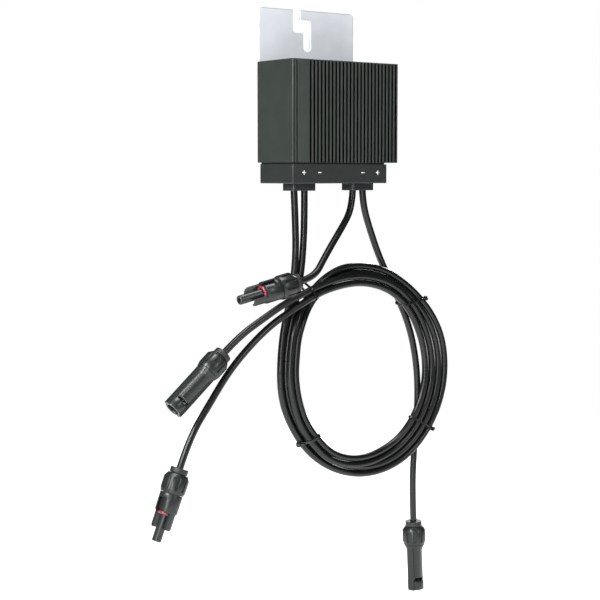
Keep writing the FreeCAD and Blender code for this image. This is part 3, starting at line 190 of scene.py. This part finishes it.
def painted_fin_shade_and_front_light(nodes, links, place):
    """Factor for the colour: painted shade down between the fins, and painted light on the front faces."""
    parts = nodes.new("ShaderNodeSeparateXYZ")
    links.new(place, parts.inputs[0])
    depth, face = parts.outputs["Y"], HOUSING_LOW.y
    loss = slope(nodes, links, depth, face + OUTER_FACE_DEPTH / 2, face + PAINTED_SHADE_DEPTH, 0, CHANNEL_PAINTED_SHADE)
    for axis, low, high in (("X", HOUSING_LOW.x, HOUSING_HIGH.x), ("Z", HOUSING_LOW.z, HOUSING_HIGH.z)):
        middle, reach = (low + high) / 2, (high - low) / 2 - OUTER_FACE_DEPTH
        inside = worked_out(nodes, links, "COMPARE", parts.outputs[axis], middle, reach)
        loss = worked_out(nodes, links, "MULTIPLY", loss, inside)
    front = slope(nodes, links, depth, face + OUTER_FACE_DEPTH / 2, face + OUTER_FACE_DEPTH, FRONT_PAINTED_LIGHT, 1)
    rest = worked_out(nodes, links, "SUBTRACT", front, loss)
    return worked_out(nodes, links, "MAXIMUM", rest, DARKEST_PAINTED_SHADE)


BRACKET_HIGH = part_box("mounting_bracket")[1]
# Width of the painted shade along the bracket's top and right rims, and its darkest factor
RIM, RIM_PAINTED_SHADE = 0.0009, 0.5


def rim_painted_shade(nodes, links, place):
    """Factor for the colour: painted shade, darker along the plate's top edge and its right edge."""
    parts = nodes.new("ShaderNodeSeparateXYZ")
    links.new(place, parts.inputs[0])
    edges = [slope(nodes, links, parts.outputs[axis], high - RIM, high - RIM / 2, 1, RIM_PAINTED_SHADE)
             for axis, high in (("X", BRACKET_HIGH.x), ("Z", BRACKET_HIGH.z))]
    return worked_out(nodes, links, "MINIMUM", *edges)


MATERIALS = {
    # The housing's colour carries painted shade between its fins and painted light on its front faces
    "housing": surface("housing_coat_painted_light_and_shade", (0.028, 0.034, 0.030), 0.42, metallic=0.1, grain=1800,
                       grain_height=0.2, soft_edge=0.0006, shade=painted_fin_shade_and_front_light),
    # The bracket's colour carries painted shade along its top and right rims
    "bracket": surface("bracket_metal_painted_rim_shade", (0.81, 0.84, 0.89), 0.44, metallic=0.25, mottle=0.04, grain=900,
                       grain_height=0.06, soft_edge=0.0006, shade=rim_painted_shade),
    "screw": surface("screw_steel", (0.40, 0.40, 0.41), 0.32, metallic=1.0, grain_height=0.05),
    "gasket": surface("gasket_rubber", (0.005, 0.005, 0.005), 0.7),
    "cover": surface("cover_plastic", (0.018, 0.022, 0.021), 0.42, grain=1200, grain_height=0.25,
                     soft_edge=0.0016),
    "cable_entry": surface("entry_rubber", (0.024, 0.028, 0.028), 0.24, coat=0.3, soft_edge=0.0012),
    "board": surface("board_mask", (0.010, 0.095, 0.035), 0.35, coat=0.3),
    "heat_pad": surface("pad_grey", (0.42, 0.43, 0.45), 0.8),
    "transistor": surface("transistor_case", (0.018, 0.018, 0.019), 0.45),
    "ferrite": surface("ferrite_grey", (0.035, 0.035, 0.038), 0.6),
    "copper": surface("copper_wire", (0.50, 0.17, 0.06), 0.3, metallic=1.0),
    "capacitor": surface("capacitor_can", (0.55, 0.56, 0.58), 0.3, metallic=1.0, grain_height=0.05),
    "chip": surface("chip_case", (0.014, 0.014, 0.015), 0.5),
    "transformer": surface("transformer_case", (0.05, 0.045, 0.035), 0.55),
    "terminal": surface("terminal_tin", (0.60, 0.58, 0.54), 0.35, metallic=1.0),
    "wire": surface("wire_jacket", (0.018, 0.018, 0.018), 0.45),
    "cord": surface("cord_jacket", (0.0045, 0.0056, 0.0056), 0.29, mottle=0.12, mottle_scale=90, grain=1400,
                    grain_height=0.03, ior=1.45),
    "tie": surface("tie_nylon", (0.006, 0.0065, 0.007), 0.25),
    "connector": surface("connector_plastic", (0.013, 0.0160, 0.0155), 0.33, mottle=0.05, grain_height=0.03,
                         soft_edge=0.0004, ior=1.45),
    "collar": surface("collar_rubber", (0.014, 0.015, 0.015), 0.5),
    "sealing_ring": surface("ring_red", (0.22, 0.020, 0.040), 0.35, coat=0.3),
    "ink": surface("ink_white", (0.80, 0.81, 0.80), 0.5, mottle=0.02, grain_height=0.03),
    "contact": surface("contact_tin", (0.62, 0.60, 0.56), 0.3, metallic=1.0),
}


# Rounds of the edges, by material slot

WELD_REACH = 0.00001
FLAT_ANGLE, SHARP_ANGLE = math.radians(0.5), math.radians(35)
EDGE_ROUNDS = {
    "housing": 0.00035, "bracket": 0.0003, "cover": 0.0004, "cable_entry": 0.0005, "connector": 0.00035,
    "collar": 0.0005, "screw": 0.0002, "gasket": 0.0002,
}


def round_node(node, width):
    """Joins a piece's split corners, makes its flats whole and rounds its edges."""
    weld = node.modifiers.new("weld", "WELD")
    weld.merge_threshold = WELD_REACH
    flats = node.modifiers.new("flats", "DECIMATE")
    flats.decimate_type = "DISSOLVE"
    flats.angle_limit = FLAT_ANGLE
    bevel = node.modifiers.new("bevel", "BEVEL")
    bevel.width = width
    bevel.segments = 2
    bevel.limit_method = "ANGLE"
    bevel.angle_limit = SHARP_ANGLE
    bevel.use_clamp_overlap = True
    bevel.harden_normals = True


for fact in frame["record"]["subparts"]:
    node = bpy.data.objects[fact["node"]]
    slot = fact["material_slot"]
    for holder in node.material_slots:
        holder.material = MATERIALS[slot]
    if slot in EDGE_ROUNDS:
        round_node(node, EDGE_ROUNDS[slot])


# Cords

CORD_DIAMETER = 0.0067


def cord_line(name, points):
    """Smooth tube whose route's points are the control points of one open spline."""
    curve = bpy.data.curves.new(name, "CURVE")
    curve.dimensions = "3D"
    spline = curve.splines.new("NURBS")
    spline.points.add(len(points) - 1)
    for point, place in zip(spline.points, points):
        point.co = (*place, 1.0)
    spline.order_u = 3
    spline.use_endpoint_u = True
    spline.resolution_u = 8
    curve.bevel_depth = CORD_DIAMETER / 2
    curve.bevel_resolution = 5
    curve.use_fill_caps = True
    curve.materials.append(MATERIALS["cord"])
    made = bpy.data.objects.new(name, curve)
    bpy.context.scene.collection.objects.link(made)
    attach(made, "root")
    return made


COIL_X, COIL_Y, COIL_Z = 0.0405, -0.047, -0.320
# Radii of the outermost and innermost strands, every TURN_STEP degrees from the right, upwards
OUTER_STRAND = [
    0.1058, 0.1043, 0.1008, 0.0980, 0.0980, 0.1008, 0.1044, 0.1078, 0.1085, 0.1080, 0.1076, 0.1071,
    0.1051, 0.1050, 0.1036, 0.1036, 0.1038, 0.1045, 0.1058, 0.1068, 0.1078, 0.1076, 0.1074, 0.1070,
]
INNER_STRAND = [
    0.0760, 0.0768, 0.0780, 0.0798, 0.0822, 0.0842, 0.0863, 0.0884, 0.0910, 0.0922, 0.0925, 0.0900,
    0.0866, 0.0858, 0.0868, 0.0869, 0.0894, 0.0887, 0.0874, 0.0862, 0.0840, 0.0815, 0.0790, 0.0770,
]
TURN_STEP = 15
STRAND_PITCH, MIDDLE_PITCH = 0.0068, 0.0072
# How much wider than it is a strand looks in the coil's plane, at the coil's sides and at its top
WIDTH_SEEN_SIDE, WIDTH_SEEN_TOP = 1.35, 1.03
# How far a strand seems to move sideways for each unit that it lies deeper
SIDEWAYS = 0.741
# How much nearer to the middle than its points a smooth turn runs
CORNER_CUT = math.cos(math.radians(TURN_STEP / 2))


def polar(angle, radius, y):
    """Point at an angle and a distance from the coil's middle."""
    turn = math.radians(angle)
    return (COIL_X + radius * math.cos(turn), y, COIL_Z + radius * math.sin(turn))


def stagger(gap, lean):
    """Depth between the rear and the front pair, so that the two middle strands just touch."""
    if gap >= MIDDLE_PITCH:
        return 0.0
    square = 1 + (SIDEWAYS * lean) ** 2
    half = SIDEWAYS * lean * gap
    return (math.sqrt(half ** 2 + square * (MIDDLE_PITCH ** 2 - gap ** 2)) - half) / square


def strand_point(angle, strand):
    """Point of one of the four strands, which lie side by side, staggered where they are tight."""
    index = round(angle / TURN_STEP) % len(OUTER_STRAND)
    outer, inner = OUTER_STRAND[index] / CORNER_CUT, INNER_STRAND[index] / CORNER_CUT
    turn = math.radians(angle)
    closed = CORD_DIAMETER * math.hypot(WIDTH_SEEN_SIDE * math.cos(turn), WIDTH_SEEN_TOP * math.sin(turn))
    inner = max(inner, outer - 3 * closed)
    free = outer - inner
    pitch = max(STRAND_PITCH, free / 3)
    y = COIL_Y + stagger(free - 2 * pitch, math.cos(turn)) * (0.5 if strand < 2 else -0.5)
    radius = (outer, outer - pitch, inner + pitch, inner)[strand]
    return polar(angle, radius + SIDEWAYS * (y - COIL_Y) * math.cos(turn), y)


def coiled_cord(lead, way_in, first, second, under, way_out, tail):
    """Route that comes down at the left, goes round on two strands and leaves at the upper left."""
    points = list(lead) + list(way_in)
    points += [strand_point(angle, first) for angle in range(180, 440, TURN_STEP)]
    points += [polar(*place) for place in under]
    points += [strand_point(angle, second) for angle in range(540, 811, TURN_STEP)]
    points += [polar(*place) for place in way_out]
    return points + list(tail)


OUTPUT_PLUS_LEAD = [
    (-0.0446, -0.04185, -0.141), (-0.0430, -0.0419, -0.1710), (-0.0427, -0.0423, -0.2030),
    (-0.0466, -0.0428, -0.2315), (-0.0519, -0.0432, -0.2524),
]
OUTPUT_MINUS_LEAD = [
    (-0.0322, -0.04185, -0.141), (-0.0322, -0.0419, -0.1710), (-0.0342, -0.0420, -0.2020),
    (-0.0368, -0.0421, -0.2220), (-0.0410, -0.0421, -0.2400),
]
OUTPUT_PLUS_TAIL = [
    (-0.0415, -0.0504, -0.2403), (-0.0620, -0.0504, -0.2480), (-0.0840, -0.0504, -0.2594),
    (-0.1143, -0.0504, -0.2757), (-0.1320, -0.0504, -0.2907),
]
OUTPUT_MINUS_TAIL = [
    (-0.0550, -0.0504, -0.2557), (-0.0760, -0.0504, -0.2662), (-0.1005, -0.0504, -0.2840),
    (-0.1265, -0.0504, -0.3082), (-0.1490, -0.0504, -0.3382), (-0.1692, -0.0504, -0.3652),
    (-0.1801, -0.0504, -0.3923),
]
INPUT_MINUS_ROUTE = [
    (0.0272, -0.04185, -0.141), (0.0268, -0.0420, -0.1480), (0.0215, -0.0440, -0.1640),
    (0.0085, -0.0478, -0.1780), (-0.0065, -0.0522, -0.1930), (-0.0210, -0.0568, -0.2080),
    (-0.0315, -0.0604, -0.2195), (-0.0455, -0.0613, -0.2254), (-0.0542, -0.0613, -0.2272),
]
INPUT_PLUS_ROUTE = [
    (0.0396, -0.04185, -0.141), (0.0412, -0.0410, -0.1550), (0.0505, -0.0385, -0.1765),
    (0.0672, -0.0361, -0.2105), (0.0898, -0.0361, -0.2480), (0.1087, -0.0361, -0.2840),
    (0.1184, -0.0361, -0.3260), (0.1193, -0.0362, -0.3660), (0.1146, -0.0366, -0.4080),
    (0.1109, -0.0380, -0.4480), (0.1130, -0.0380, -0.4861),
]

output_plus_route = coiled_cord(
    OUTPUT_PLUS_LEAD, [(-0.0599, -0.0436, -0.280)], 0, 2,
    [(90, 0.1044, -0.0438), (105, 0.1076, -0.0437), (120, 0.1066, -0.0437), (131, 0.1034, -0.0430),
     (139, 0.1024, -0.0449), (147, 0.1032, -0.0499), (157, 0.1010, -0.0504), (168, 0.0975, -0.0504)],
    [(102, 0.0968, -0.0503), (113, 0.1007, -0.0504), (126, 0.1072, -0.0504)], OUTPUT_PLUS_TAIL)
output_minus_route = coiled_cord(
    OUTPUT_MINUS_LEAD, [(-0.0466, -0.0423, -0.2636), (-0.0534, -0.0431, -0.287)], 1, 3,
    [(90, 0.0976, -0.0438), (105, 0.1008, -0.0437), (120, 0.0998, -0.0437), (131, 0.0966, -0.0430),
     (139, 0.0955, -0.0449), (147, 0.0963, -0.0499), (157, 0.0941, -0.0504), (168, 0.0906, -0.0504)],
    [(102, 0.0900, -0.0503), (115, 0.0943, -0.0504), (128, 0.1013, -0.0504)], OUTPUT_MINUS_TAIL)

OUTPUT_PLUS_NODES = ["output_plus_lead", "output_coil", "output_plus_tail"]
OUTPUT_MINUS_NODES = ["output_minus_lead", "output_coil", "output_minus_tail"]


def declare(name, points, nodes):
    """Cord along a route, in place of its nodes, which it hides."""
    made = cord_line(name, points)
    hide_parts(*nodes)
    return made


output_plus = declare(
    "output_plus_line", output_plus_route, OUTPUT_PLUS_NODES)
output_minus = declare(
    "output_minus_line", output_minus_route, OUTPUT_MINUS_NODES)
declare(
    "input_minus_line", INPUT_MINUS_ROUTE, ["input_minus_cord"])
input_plus = declare(
    "input_plus_line", INPUT_PLUS_ROUTE, ["input_plus_cord"])


# Ties: each band is pulled tight round the cords that pass its place

BAND_THICKNESS, BAND_WIDTH, BAND_ROUND = 0.0010, 0.0023, 0.00025
BAND_PLAY = 0.00015
BAND_STEPS = 96
HEAD_LENGTH, HEAD_WIDTH, HEAD_HEIGHT, HEAD_LIFT = 0.0044, 0.0042, 0.0028, 0.0002
HEAD_TURN = math.radians(25)
TAIL_LENGTH = 0.0045
REACH_PAST_ENDS = 0.002
FORWARD = Vector((0, -1, 0))


def centre_line(cord):
    """Points along a cord's own smooth line."""
    bare = bpy.data.objects.new("bare_line", cord.data.copy())
    bare.data.bevel_depth = 0.0
    mesh = bpy.data.meshes.new_from_object(bare)
    points = [vertex.co.copy() for vertex in mesh.vertices]
    bpy.data.meshes.remove(mesh)
    bpy.data.curves.remove(bare.data)
    return points


def crossings(points, inner, across, length):
    """Where a line passes a tie's plane: the place in that plane, and the line's own direction."""
    normal = across.cross(FORWARD)
    found = []
    for start, end in zip(points, points[1:]):
        before, after = (start - inner).dot(normal), (end - inner).dot(normal)
        if before * after > 0 or before == after:
            continue
        place = start.lerp(end, before / (before - after)) - inner
        heading = (end - start).normalized()
        if -REACH_PAST_ENDS < place.dot(across) < length + REACH_PAST_ENDS:
            lean = Vector((heading.dot(across), heading.dot(FORWARD))) / abs(heading.dot(normal))
            found.append((Vector((place.dot(across), place.dot(FORWARD))), lean))
    return found


def mesh_object(name, vertices, faces, slot, bevel=0.0):
    """Piece from its corners and faces, with rounded edges where a bevel is given."""
    mesh = bpy.data.meshes.new(name)
    mesh.from_pydata([tuple(place) for place in vertices], [], faces)
    mesh.validate()
    mesh.materials.append(MATERIALS[slot])
    made = bpy.data.objects.new(name, mesh)
    bpy.context.scene.collection.objects.link(made)
    if bevel:
        rounding = made.modifiers.new("bevel", "BEVEL")
        rounding.width = bevel
        rounding.segments = 2
        rounding.limit_method = "ANGLE"
        rounding.angle_limit = SHARP_ANGLE
        rounding.harden_normals = True
    for face in mesh.polygons:
        face.use_smooth = True
    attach(made, "root")
    return made


def block_faces(first):
    """Six faces of a block whose eight corners are listed low ring first."""
    sides = [(3, 2, 1, 0), (4, 5, 6, 7), (0, 1, 5, 4), (1, 2, 6, 5), (2, 3, 7, 6), (3, 0, 4, 7)]
    return [tuple(first + corner for corner in side) for side in sides]


def block(origin, along, side, rise, length, width, height):
    """Corners of a block that starts at its origin's low middle."""
    corners = []
    for level in (0, height):
        for step, shift in ((0, -1), (length, -1), (length, 1), (0, 1)):
            corners.append(origin + along * step + side * (shift * width / 2) + rise * level)
    return corners


def tie(name, inner, outer, lines):
    """Band pulled tight round the cords between two places, with its ratchet head and cut tail."""
    inner = Vector((inner[0], COIL_Y, inner[1]))
    across = Vector((outer[0], COIL_Y, outer[1])) - inner
    length = across.length
    across.normalize()
    along = across.cross(FORWARD)
    sections = [found for line in lines for found in crossings(line, inner, across, length)]
    wrap = CORD_DIAMETER / 2 + BAND_PLAY
    vertices, faces = [], []

    def edge_of(section, normal):
        """Outermost point of one cord's slanted section in a direction."""
        place, lean = section
        stretched = normal + lean * lean.dot(normal)
        return place + stretched * (wrap / math.sqrt(normal.dot(stretched)))

    def on_band(direction, lift):
        """Point of the band that faces a direction, lifted off the cords."""
        normal = Vector((math.cos(direction), math.sin(direction)))
        far = max((edge_of(section, normal) for section in sections), key=lambda place: place.dot(normal))
        far = far + normal * lift
        return inner + across * far.x + FORWARD * far.y

    for step in range(BAND_STEPS):
        direction = math.radians(360 * step / BAND_STEPS)
        for lift, side in ((0, -1), (0, 1), (BAND_THICKNESS, 1), (BAND_THICKNESS, -1)):
            vertices.append(on_band(direction, lift) + along * (side * BAND_WIDTH / 2))
    for step in range(BAND_STEPS):
        one, two = 4 * step, 4 * ((step + 1) % BAND_STEPS)
        for corner in range(4):
            following = (corner + 1) % 4
            faces.append((one + corner, two + corner, two + following, one + following))

    outward = across * math.cos(HEAD_TURN) + FORWARD * math.sin(HEAD_TURN)
    onward = FORWARD * math.cos(HEAD_TURN) - across * math.sin(HEAD_TURN)
    seat = on_band(HEAD_TURN, HEAD_LIFT)
    faces += block_faces(len(vertices))
    vertices += block(seat - onward * (HEAD_LENGTH / 2), onward, along, outward,
                      HEAD_LENGTH, HEAD_WIDTH, HEAD_HEIGHT)
    faces += block_faces(len(vertices))
    vertices += block(seat + onward * (HEAD_LENGTH / 2) + outward * BAND_THICKNESS, onward, along, outward,
                      TAIL_LENGTH, BAND_WIDTH, BAND_THICKNESS)
    made = mesh_object(name + "_band", vertices, faces, "tie", bevel=BAND_ROUND)
    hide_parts(name)


plus_line, minus_line, input_line = [centre_line(cord) for cord in (output_plus, output_minus, input_plus)]
tie("tie_upper_left", (-0.0243, -0.2452), (-0.0371, -0.2292), [plus_line, minus_line])
tie("tie_upper_right", (0.0793, -0.2583), (0.1162, -0.2525), [plus_line, minus_line, input_line])
tie("tie_lower_right", (0.0912, -0.3689), (0.1241, -0.3865), [plus_line, minus_line, input_line])
tie("tie_lower_left", (-0.0214, -0.3795), (-0.0457, -0.3886), [plus_line, minus_line])


# Printed signs on the bottom cover: a plain plus or minus above each cord

COVER_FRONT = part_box("bottom_cover")[0].y
SIGN_HEIGHT = -0.1236
INK = 0.00006


def sign(name, corners, x):
    """Thin printed shape on the cover's front, from its outline in the plane X and Z."""
    count = len(corners)
    vertices = [(x + across, COVER_FRONT - lift, SIGN_HEIGHT + up)
                for lift in (INK, 0) for across, up in corners]
    faces = [tuple(range(count)), tuple(reversed(range(count, 2 * count)))]
    faces += [(i, i + count, (i + 1) % count + count, (i + 1) % count) for i in range(count)]
    mesh_object(name, vertices, faces, "ink")


LONG, THIN = 0.0020, 0.00045
PLUS = [(-LONG, -THIN), (-THIN, -THIN), (-THIN, -LONG), (THIN, -LONG), (THIN, -THIN), (LONG, -THIN),
        (LONG, THIN), (THIN, THIN), (THIN, LONG), (-THIN, LONG), (-THIN, THIN), (-LONG, THIN)]
MINUS = [(-LONG, -THIN), (LONG, -THIN), (LONG, THIN), (-LONG, THIN)]
sign("sign_output_plus", PLUS, -0.0466)
sign("sign_output_minus", MINUS, -0.0279)
sign("sign_input_minus", MINUS, 0.0249)
sign("sign_input_plus", PLUS, 0.0435)


# Floor and light

FLOOR_LEVEL = cad_low.z - 0.04
FLOOR_RADIUS, FLOOR_STEPS = 1.4, 96
SURROUNDINGS_SEEN, SURROUNDINGS_LIGHT = 1.0, 0.06
SKY_POWER, SKY_SOFTNESS = 3.0, math.radians(30)
LIT_POINT = Vector((0.0, -0.03, -0.24))


def add_stage():
    """Round pale floor under the part."""
    turns = [2 * math.pi * step / FLOOR_STEPS for step in range(FLOOR_STEPS)]
    rim = [(FLOOR_RADIUS * math.cos(turn), FLOOR_RADIUS * math.sin(turn), FLOOR_LEVEL) for turn in turns]
    mesh = bpy.data.meshes.new("floor")
    mesh.from_pydata(rim, [], [tuple(range(FLOOR_STEPS))])
    mesh.materials.append(surface("floor_pale", (0.90, 0.90, 0.90), 0.9, mottle=0.004, grain_height=0.0))
    floor = bpy.data.objects.new("floor", mesh)
    bpy.context.scene.collection.objects.link(floor)


def add_sky():
    """Soft light from straight above, which keeps the floor pale."""
    data = bpy.data.lights.new("sky", "SUN")
    data.energy = SKY_POWER
    data.angle = SKY_SOFTNESS
    light = bpy.data.objects.new("sky", data)
    light.location = (0, 0, 2)
    bpy.context.scene.collection.objects.link(light)


def add_world():
    """Pale surroundings as seen, which light the part more dimly."""
    world = bpy.data.worlds.new("world")
    world.use_nodes = True
    nodes, links = world.node_tree.nodes, world.node_tree.links
    background = nodes["Background"]
    background.inputs["Color"].default_value = (1, 1, 1, 1)
    seen = nodes.new("ShaderNodeLightPath").outputs["Is Camera Ray"]
    strength = slope(nodes, links, seen, 0, 1, SURROUNDINGS_LIGHT, SURROUNDINGS_SEEN)
    links.new(strength, background.inputs["Strength"])
    bpy.context.scene.world = world


def add_light(name, place, width, height, power):
    """Soft rectangular light whose long side stands upright."""
    data = bpy.data.lights.new(name, "AREA")
    data.shape = "RECTANGLE"
    data.size, data.size_y = width, height
    data.energy = power
    light = bpy.data.objects.new(name, data)
    light.location = place
    light.rotation_euler = (LIT_POINT - Vector(place)).to_track_quat("-Z", "Y").to_euler()
    light.visible_camera = False
    bpy.context.scene.collection.objects.link(light)


add_stage()
add_light("key", (-1.75, -0.35, 0.75), 0.5, 0.8, 44)
add_light("strip", (-1.30, -1.02, -0.10), 0.08, 1.2, 14)
add_light("fill", (0.35, -1.9, 0.5), 0.15, 1.0, 10)
add_light("back", (1.45, 1.15, 0.5), 0.5, 1.0, 20)
add_sky()
add_world()
bpy.context.scene.view_settings.view_transform = "Standard"
